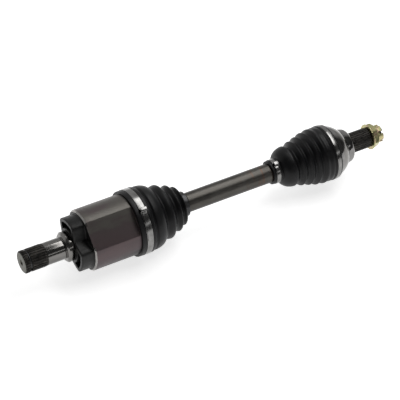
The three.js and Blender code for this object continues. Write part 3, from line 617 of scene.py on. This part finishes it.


# --- Bar -----------------------------------------------------------------------------------------
# A solid bar, hardened and left as drawn: dark, with painted shade on its underside, and faint brown rings
# near the outboard boot.
# Its ends are necked down inside the boots, and each is splined for the piece it carries.

bar_low, bar_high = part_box("axle_bar")
BAR = 14.2 * MM
NECK = 12.2 * MM
BAR_SEAT = 13.7 * MM
centre = tip + 485 * MM
bar_profile = rounded([
    (bar_low.x, 0), (bar_low.x, 10.4 * MM, 0.5 * MM), (bar_low.x + 1.5 * MM, 11 * MM, 0.3 * MM),
    (tip + 128.6 * MM, 11 * MM), (tip + 128.6 * MM, 10 * MM, 0.1 * MM),
    (tip + 130.2 * MM, 10 * MM, 0.1 * MM),
    (tip + 130.2 * MM, 11.6 * MM, 0.2 * MM), (tip + 155.6 * MM, 11.6 * MM),
    (tip + 155.8 * MM, NECK, 0.3 * MM), (tip + 234 * MM, NECK, 3 * MM), (tip + 240 * MM, BAR_SEAT, 1 * MM),
    (boot_high.x + 0.3 * MM, BAR_SEAT, 0.3 * MM), (boot_high.x + 1.5 * MM, BAR, 0.4 * MM),
    (tip + 300 * MM, BAR), (tip + 350 * MM, BAR),
    (centre - 92.5 * MM, BAR, 0.4 * MM), (centre - 91.3 * MM, BAR_SEAT, 0.3 * MM),
    (centre - 73 * MM, BAR_SEAT, 1 * MM), (centre - 67 * MM, 11.5 * MM, 3 * MM),
    (centre - 11.4 * MM, 11.5 * MM, 0.2 * MM),
    (centre - 11.3 * MM, 11.1 * MM, 0.2 * MM), (centre + 11.3 * MM, 11.1 * MM, 0.2 * MM),
    (centre + 11.3 * MM, 9.5 * MM, 0.2 * MM), (centre + 12.9 * MM, 9.5 * MM, 0.2 * MM),
    (centre + 12.9 * MM, 10.6 * MM, 0.2 * MM), (bar_high.x, 10 * MM, 0.5 * MM), (bar_high.x, 0)])
bar = surface("solid_bar", turned((bar_profile[:, 0], bar_profile[:, 1]), around(160)))


def mixed(tree, factor, first, second):
    """Two colours mixed by a factor. Sockets go by number here, as four kinds share each name."""
    node = tree.nodes.new("ShaderNodeMix")
    node.data_type = "RGBA"
    for number, value in ((0, factor), (6, first), (7, second)):
        if isinstance(value, tuple):
            node.inputs[number].default_value = value
        else:
            tree.links.new(value, node.inputs[number])
    return node.outputs[2]


def drawn_bar(tree, place):
    along = add(tree, "ShaderNodeSeparateXYZ", {"Vector": place}).outputs["X"]
    cloud = noise(tree, place, 55, stretch=(0.5, 1, 1), detail=4)
    streak = noise(tree, place, 260, stretch=(1, 0.06, 0.06), detail=3)
    plain = blend_of(tree, cloud, (0.3, (0.052, 0.048, 0.043)), (0.7, (0.092, 0.088, 0.080)))
    rusty = blend_of(tree, streak, (0.45, (0.055, 0.042, 0.033)), (0.62, (0.105, 0.062, 0.044)))
    near_boot = span(tree, along, 0.045, 0.095, 0, 0.75)
    patch = add(tree, "ShaderNodeMath", {0: near_boot, 1: span(tree, streak, 0.48, 0.62, 0, 1)},
                operation="MULTIPLY").outputs[0]
    colour = mixed(tree, patch, plain, rusty)
    # Painted shade: below the bar's middle its colour is mixed towards near black, darkest underneath.
    height = add(tree, "ShaderNodeSeparateXYZ", {"Vector": place}).outputs["Z"]
    underside_painted_shade = mixed(tree, span(tree, height, -0.011, 0.002, 0.75, 0), colour, (0.012, 0.011, 0.010, 1))
    return {"Base Color": underside_painted_shade, "Roughness": span(tree, cloud, 0.3, 0.7, 0.3, 0.42),
            "Normal": turning_marks(tree, place, 0.002, 0.00003)}


drawn = finish("drawn_bar_steel", drawn_bar, Metallic=0.9)
paint(bar, (drawn, None), (ground, lambda x, r: (x < tip + 156 * MM) | (x > centre - 11 * MM)))
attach(bar, "shaft")
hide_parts("axle_bar")


# --- Outboard boot -------------------------------------------------------------------------------
# The same rubber: a small cuff on the bar, a smooth cone, five pleats that grow and a cuff on the bell.
# It is made in two lengths.

out_low, out_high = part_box("outboard_boot")
NECK_END = centre - 77 * MM
OUT_CUFF = 41.4 * MM
out_crests = [(centre + x * MM, OUT_CUFF + rise * MM) for x, rise in
              ((-59, -11.2), (-47, -7.6), (-35.5, -4.5), (-25, -1.5), (-14.5, -0.2))]
out_outline = rounded([
    (out_low.x, 14.1 * MM), (out_low.x, 17.5 * MM, 0.6 * MM), (centre - 87.2 * MM, 17.6 * MM, 0.3 * MM),
    (centre - 86.9 * MM, 17.0 * MM, 0.2 * MM), (centre - 80.1 * MM, 17.0 * MM, 0.2 * MM),
    (centre - 79.8 * MM, 17.6 * MM, 0.3 * MM), (NECK_END, 18 * MM, 1.2 * MM),
    (centre - 76 * MM, 22 * MM, 3 * MM), (centre - 70 * MM, 28.2 * MM, 6 * MM),
    *pleated(out_crests, 4.4 * MM),
    (centre - 9.5 * MM, 40.2 * MM, 1.8 * MM), (centre - 5 * MM, 41.3 * MM, 2 * MM),
    (centre - 1 * MM, 40.3 * MM, 0.8 * MM), (centre + 0.4 * MM, OUT_CUFF, 0.5 * MM),
    (centre + 1.9 * MM, OUT_CUFF, 0.3 * MM), (centre + 2 * MM, OUT_BAND, 0.2 * MM),
    (centre + 8 * MM, OUT_BAND, 0.2 * MM), (centre + 8.1 * MM, OUT_CUFF, 0.3 * MM),
    (out_high.x, OUT_CUFF - 0.4 * MM, 0.6 * MM), (out_high.x, 39.6 * MM)])


def outboard_wall(x, r):
    """The boot's inside: the bar's seat under the small cuff and the bell's seat under the large one."""
    wall = np.maximum(r - WALL, SMALL_SEAT)
    seated = np.where(x < NECK_END, SMALL_SEAT, wall)
    return np.where(x > centre - 13 * MM, np.minimum(r, 39.5 * MM), seated)


first_valley = centre - 53 * MM
lengths = (("outboard_boot_neck", out_low.x, first_valley, ("outboard_boot", "shaft"),
            (first_valley, NECK_END)),
           ("outboard_boot_pleats", first_valley, out_high.x, ("outboard_boot", "bell"),
            (first_valley, centre - 0.5 * MM)))
for name, start, end, bodies, (from_x, to_x) in lengths:
    length = boot_length(name, out_outline, outboard_wall, start, end, around(176))
    paint(length, (rubber, None))
    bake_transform(length)
    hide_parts("outboard_boot")


# --- Bell ----------------------------------------------------------------------------------------
# The outboard joint's outer race: a polished bell, ground to a sphere, with six ball grooves inside, and
# the wheel spline and threaded end forged in one with it.

bell_low, bell_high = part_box("outer_race")
DOME = 40.8 * MM
BELL_SEAT = 39.2 * MM
WHEEL_TEETH = 28
WHEEL_ROOT = 13.8 * MM
WHEEL_TIP = 15 * MM
NUT_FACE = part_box("axle_nut")[0].x
CAVITY = 29.8 * MM
BALL_CIRCLE = 27 * MM
GROOVE_DEPTH = 9.1 * MM
GROOVE_HALF = 10.5 * MM
dome_angle = np.linspace(np.arcsin(9.2 * MM / DOME), np.arcsin(30.5 * MM / DOME), 22)
dome = np.stack([centre + DOME * np.sin(dome_angle), DOME * np.cos(dome_angle)], axis=1)
outer = np.concatenate([
    rounded([(bell_low.x, 36 * MM), (bell_low.x, BELL_SEAT, 0.6 * MM),
             (centre + 8.2 * MM, BELL_SEAT, 0.3 * MM),
             (centre + 8.5 * MM, BELL_SEAT - 0.5 * MM, 0.2 * MM), tuple(dome[0] - (0.0004, 0.0002))]),
    dome,
    rounded([tuple(dome[-1] + (0.0006, -0.0007)), (centre + 33.5 * MM, 26.3 * MM, 1.6 * MM),
             (centre + 39.5 * MM, 25 * MM, 1.4 * MM), (centre + 42.6 * MM, 22.6 * MM, 2 * MM),
             (centre + 43 * MM, 17.5 * MM, 1.5 * MM), (centre + 43.8 * MM, 15.2 * MM, 1 * MM),
             (centre + 45 * MM, WHEEL_ROOT + 0.6 * MM, 0.8 * MM), (centre + 47 * MM, WHEEL_ROOT + 0.6 * MM),
             (centre + 60 * MM, WHEEL_ROOT + 0.6 * MM), (NUT_FACE - 3 * MM, WHEEL_ROOT + 0.6 * MM),
             (NUT_FACE - 1 * MM, WHEEL_ROOT + 0.5 * MM), (NUT_FACE - 0.4 * MM, 13.2 * MM, 0.3 * MM),
             (NUT_FACE - 0.35 * MM, 11 * MM, 0.2 * MM), (bell_high.x - 1 * MM, 11 * MM, 0.2 * MM),
             (bell_high.x, 10 * MM, 0.2 * MM), (bell_high.x, 3 * MM, 0.2 * MM),
             (bell_high.x - 2 * MM, 1 * MM)])])
bell_angles = around(WHEEL_TEETH * 15)
from_groove = from_spoke(bell_angles, np.radians(90), 6)
cavity_x = np.linspace(24.0, -11.9, 30)[:, None] * MM
sphere = np.sqrt(np.maximum(CAVITY ** 2 - cavity_x ** 2, (6 * MM) ** 2))
path = np.sqrt(np.maximum(BALL_CIRCLE ** 2 - cavity_x ** 2, (3 * MM) ** 2))
across = np.cos(from_groove) ** 2 / GROOVE_DEPTH ** 2 + np.sin(from_groove) ** 2 / GROOVE_HALF ** 2
toward = path * np.cos(from_groove) / GROOVE_DEPTH ** 2
reach = np.maximum(toward ** 2 - across * (path ** 2 / GROOVE_DEPTH ** 2 - 1), 0)
grooved = np.where(reach > 0, (toward + np.sqrt(reach)) / across, 0)
cavity_r = np.maximum(sphere, grooved)
toothed = ramp(outer[:, 0], centre + 43.5 * MM, centre + 45.5 * MM) \
    * (1 - ramp(outer[:, 0], NUT_FACE - 1.6 * MM, NUT_FACE - 0.6 * MM))
wheel_rise = (teeth(bell_angles, WHEEL_TEETH)[None, :] - 0.5) * (WHEEL_TIP - WHEEL_ROOT)
outer_r = outer[:, 1, None] + toothed[:, None] * wheel_rise
bell_x = np.concatenate([np.broadcast_to(centre + cavity_x, cavity_r.shape),
                         np.broadcast_to(outer[:, 0, None], outer_r.shape)])
bell = surface("bell_forging", turned((bell_x, np.concatenate([cavity_r, outer_r])), bell_angles))


def polished(tree, place):
    ripple = noise(tree, place, 90, detail=4)
    fine = noise(tree, place, 700, stretch=(1, 0.05, 0.05), detail=2)
    bump = add(tree, "ShaderNodeBump", {"Height": ripple, "Strength": 0.5, "Distance": 0.0004})
    return {"Base Color": blend_of(tree, ripple, (0.3, (0.17, 0.166, 0.163)), (0.7, (0.26, 0.255, 0.25))),
            "Roughness": span(tree, fine, 0.3, 0.7, 0.07, 0.15), "Normal": bump.outputs[0]}


mirror = finish("polished_bell_steel", polished, Metallic=1.0)
paint(bell, (mirror, None), (spline_black, lambda x, r: (x > centre + 43 * MM) & (r < 17.6 * MM)),
      (ground, lambda x, r: (x < centre + 26 * MM) & (r < 37.5 * MM)))
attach(bell, "bell")
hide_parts("outer_race")


# --- Hub nut -------------------------------------------------------------------------------------
# A flanged hexagon nut with a slotted crown, yellow zinc plated, run up against the end of the spline.

nut_low, nut_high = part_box("axle_nut")
FLANGE = 19.2 * MM
ACROSS_FLATS = 32 * MM
CROWN = 13.2 * MM
HEX_END = nut_high.x - 9.5 * MM
SLOT_FLOOR = nut_high.x - 5.5 * MM
NUT_BORE = 11.35 * MM
slot_turn = np.radians(17)
fine_angles = np.sort(np.concatenate([around(360)] + [
    slot_turn + i * np.pi / 3 + sign * np.arcsin(1.7 / 12.4) + np.linspace(-0.012, 0.012, 5)
    for i in range(6) for sign in (-1, 1)]) % (2 * np.pi))
to_flat = from_spoke(fine_angles, np.radians(30), 6)
hexagon = ACROSS_FLATS / 2 / np.cos(to_flat)
to_slot = from_spoke(fine_angles, slot_turn, 6)
slot_edge = np.abs(np.sin(to_slot)) * 12.4 * MM
crown_top = nut_high.x - (nut_high.x - SLOT_FLOOR) * (1 - ramp(slot_edge, 1.6 * MM, 1.8 * MM))


def nut_rows(x, r):
    """Rows of the nut's skin, made as long as the longer of the two and as wide as the nut's angles."""
    x, r = np.atleast_2d(x), np.atleast_2d(r)
    x = x.T if x.shape[0] == 1 and x.shape[1] != len(fine_angles) else x
    r = r.T if r.shape[0] == 1 and r.shape[1] != len(fine_angles) else r
    count = max(x.shape[0], r.shape[0])
    return np.broadcast_to(x, (count, len(fine_angles))), np.broadcast_to(r, (count, len(fine_angles)))


flange = rounded([(nut_low.x, 15 * MM), (nut_low.x, FLANGE, 0.5 * MM),
                  (nut_low.x + 1.6 * MM, FLANGE, 0.6 * MM),
                  (nut_low.x + 2.6 * MM, FLANGE - 1.2 * MM)])
hex_x = np.concatenate([[nut_low.x + 2.9 * MM, nut_low.x + 3.1 * MM],
                        np.linspace(HEX_END - 5 * MM, HEX_END - 0.2 * MM, 26)])
bevel = 16.1 * MM + (HEX_END - hex_x) * 1.1
hex_r = soft_least(hexagon[None, :], bevel[:, None], 60)
crown_x = between(HEX_END + 0.4 * MM, crown_top - 0.6 * MM, 10)
nut_skin = [
    nut_rows(flange[:, 0], flange[:, 1]), nut_rows(hex_x, hex_r),
    nut_rows(HEX_END, np.maximum(CROWN + 1.2 * MM, hex_r[-1:] - 0.4 * MM)),
    nut_rows(HEX_END, CROWN + 0.5 * MM),
    nut_rows(crown_x, CROWN), nut_rows(crown_top - 0.1 * MM, CROWN - 0.1 * MM),
    nut_rows(crown_top, CROWN - 0.5 * MM), nut_rows(crown_top, NUT_BORE + 0.4 * MM),
    nut_rows(crown_top - 0.3 * MM, NUT_BORE),
    nut_rows(between(crown_top - 1 * MM, nut_low.x + 0.5 * MM, 8), NUT_BORE),
    nut_rows(nut_low.x, NUT_BORE + 0.5 * MM)]
nut_x = np.concatenate([part[0] for part in nut_skin])
nut_r = np.concatenate([part[1] for part in nut_skin])
nut = surface("hub_nut", turned((nut_x, nut_r), fine_angles), ring=True)


def yellow_zinc(tree, place):
    cloud = noise(tree, place, 70, detail=4)
    film = noise(tree, place, 150, detail=2)
    tint = blend_of(tree, film, (0.3, (0.36, 0.37, 0.19)), (0.5, (0.46, 0.43, 0.22)),
                    (0.68, (0.40, 0.27, 0.21)))
    return {"Base Color": tint, "Roughness": span(tree, cloud, 0.3, 0.7, 0.2, 0.34),
            "Normal": add(tree, "ShaderNodeBump", {"Height": cloud, "Strength": 0.3,
                                                   "Distance": 0.0001}).outputs[0]}


zinc = finish("yellow_zinc_plate", yellow_zinc, Metallic=0.95)
paint(nut, (zinc, None))
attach(nut, "bell")
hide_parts("axle_nut")


# --- Bearing pieces inside the joints ------------------------------------------------------------
# Ground and greased: spider, needles, rollers, inner race, cage and balls, with the dark spring rings.

def greased_steel(tree, place):
    cloud = noise(tree, place, 120, detail=3)
    return {"Base Color": blend_of(tree, cloud, (0.3, (0.34, 0.34, 0.34)), (0.7, (0.56, 0.56, 0.55))),
            "Roughness": span(tree, cloud, 0.3, 0.7, 0.14, 0.3)}


greased = finish("greased_bearing_steel", greased_steel, Metallic=1.0)
subparts = {part["node"]: part["material_slot"] for part in frame["record"]["subparts"]}
for node, slot in subparts.items():
    if slot in ("bearing_steel", "spring_steel") and node != "stub_circlip":
        kept = frame["nodes"][node]
        kept.data.materials.clear()
        kept.data.materials.append(greased if slot == "bearing_steel" else spring)


# --- Floor, light and camera ---------------------------------------------------------------------
# A pale floor just under the axle, soft boxes over it and a long lens from the gearbox end.

def soft_box(name, place, aim, size, power, colour=(1, 1, 1)):
    """A rectangular light at a place, facing a point."""
    light = bpy.data.lights.new(name, "AREA")
    light.shape = "RECTANGLE"
    light.size, light.size_y = size
    light.energy = power
    light.color = colour
    lamp = bpy.data.objects.new(name, light)
    lamp.matrix_world = facing(place, aim)
    lamp.visible_camera = False
    bpy.context.scene.collection.objects.link(lamp)


def facing(place, aim, up=(0, 0, 1)):
    """The frame of a thing at a place that looks at a point: its axes are right, up and back."""
    back = np.array(place, dtype=float) - aim
    back /= np.linalg.norm(back)
    right = np.cross(up, back)
    right /= np.linalg.norm(right)
    matrix = np.eye(4)
    matrix[:3, :3] = np.stack([right, np.cross(back, right), back], axis=1)
    matrix[:3, 3] = place
    return Matrix(matrix)


def pale_floor(tree, place):
    cloud = noise(tree, place, 2)
    return {"Base Color": blend_of(tree, cloud, (0.3, (0.8, 0.8, 0.8)), (0.7, (0.82, 0.82, 0.82)))}


half = 6.0
floor_z = cad_box[0][2] - 0.5 * MM
sheet = bpy.data.meshes.new("floor")
sheet.from_pydata([(-half, -half, floor_z), (half, -half, floor_z),
                   (half, half, floor_z), (-half, half, floor_z)], [], [(0, 1, 2, 3)])
floor = bpy.data.objects.new("floor", sheet)
bpy.context.scene.collection.objects.link(floor)
sheet.materials.append(finish("pale_floor", pale_floor, Roughness=0.9, **{
    "Emission Color": (1, 1, 1, 1), "Emission Strength": 0.72}))

world = bpy.data.worlds.new("studio")
world.use_nodes = True
sky = world.node_tree
toward_sky = add(sky, "ShaderNodeTexCoord").outputs["Generated"]
sideways = add(sky, "ShaderNodeSeparateXYZ", {"Vector": toward_sky})
grey = span(sky, sideways.outputs["Y"], 0.1, 0.4, 0.07, 0.6)
sky.links.new(grey, sky.nodes["Background"].inputs["Color"])
bpy.context.scene.world = world
soft_box("overhead", (0.62, 0.02, 1.5), (0, 0, 0), (1.6, 0.6), 13)
soft_box("front_strip", (0.76, -1.69, 0.75), (0, 0, 0), (2.2, 0.2), 1.7)

AZIMUTH, ELEVATION, DISTANCE = np.radians(-29.563), np.radians(39.858), 3.1
target = np.array([0.0739, 0.1505, -0.1484])
level = np.cos(ELEVATION)
out = np.array([np.sin(AZIMUTH) * level, -np.cos(AZIMUTH) * level, np.sin(ELEVATION)])
camera = bpy.data.objects.new("camera", bpy.data.cameras.new("camera"))
camera.matrix_world = facing(target + out * DISTANCE, target)
camera.data.lens = 182.2
camera.data.sensor_width = 36
camera.data.clip_end = 50
bpy.context.scene.collection.objects.link(camera)
bpy.context.scene.camera = camera
bpy.context.scene.view_settings.view_transform = "Standard"
